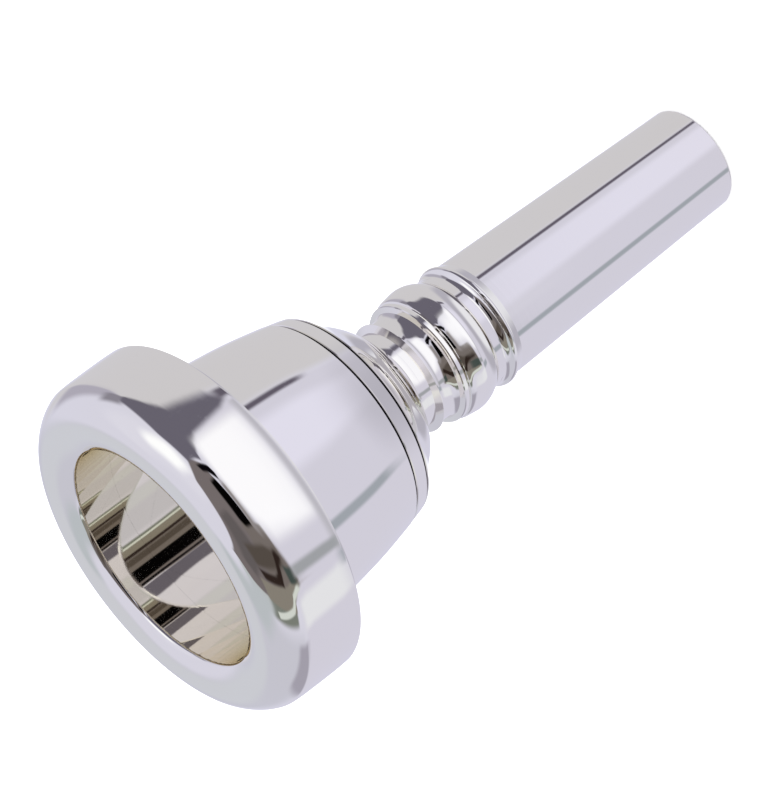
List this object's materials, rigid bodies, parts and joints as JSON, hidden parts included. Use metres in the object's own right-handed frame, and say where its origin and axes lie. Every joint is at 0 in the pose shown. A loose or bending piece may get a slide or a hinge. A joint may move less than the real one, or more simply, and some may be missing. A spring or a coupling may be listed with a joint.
{
  "type": "brass instrument mouthpiece",
  "caption": "Screw-together mouthpiece for a large-shank trombone: rounded rim, deep cup, beaded neck and tapered shank with a through bore.",
  "frame": {"origin": "centre of the flat tip of the shank, the end that goes into the instrument, and the lowest point when the mouthpiece stands on its tip", "axes": "+Z along the mouthpiece's axis from the shank's tip up to the rim, towards the player; X and Y are any two radial directions, since every piece is turned"},
  "size_m": [0.0395, 0.0396, 0.0802],
  "materials": {
    "rim_silver": "mirror-polished silver plate over turned brass",
    "cup_silver": "mirror-polished silver plate over turned brass",
    "shank_silver": "mirror-polished silver plate over turned brass"
  },
  "bodies": {
    "shank": {"shank": "shank_silver"},
    "cup": {"cup": "cup_silver"},
    "rim": {"rim": "rim_silver"}
  },
  "joints": [
    {"name": "cup_unscrew", "type": "slide", "parent": "shank", "child": "cup", "axis": [0, 0, 1], "range_m": [0, 0.008]},
    {"name": "rim_unscrew", "type": "slide", "parent": "cup", "child": "rim", "axis": [0, 0, 1], "range_m": [0, 0.005]}
  ]
}
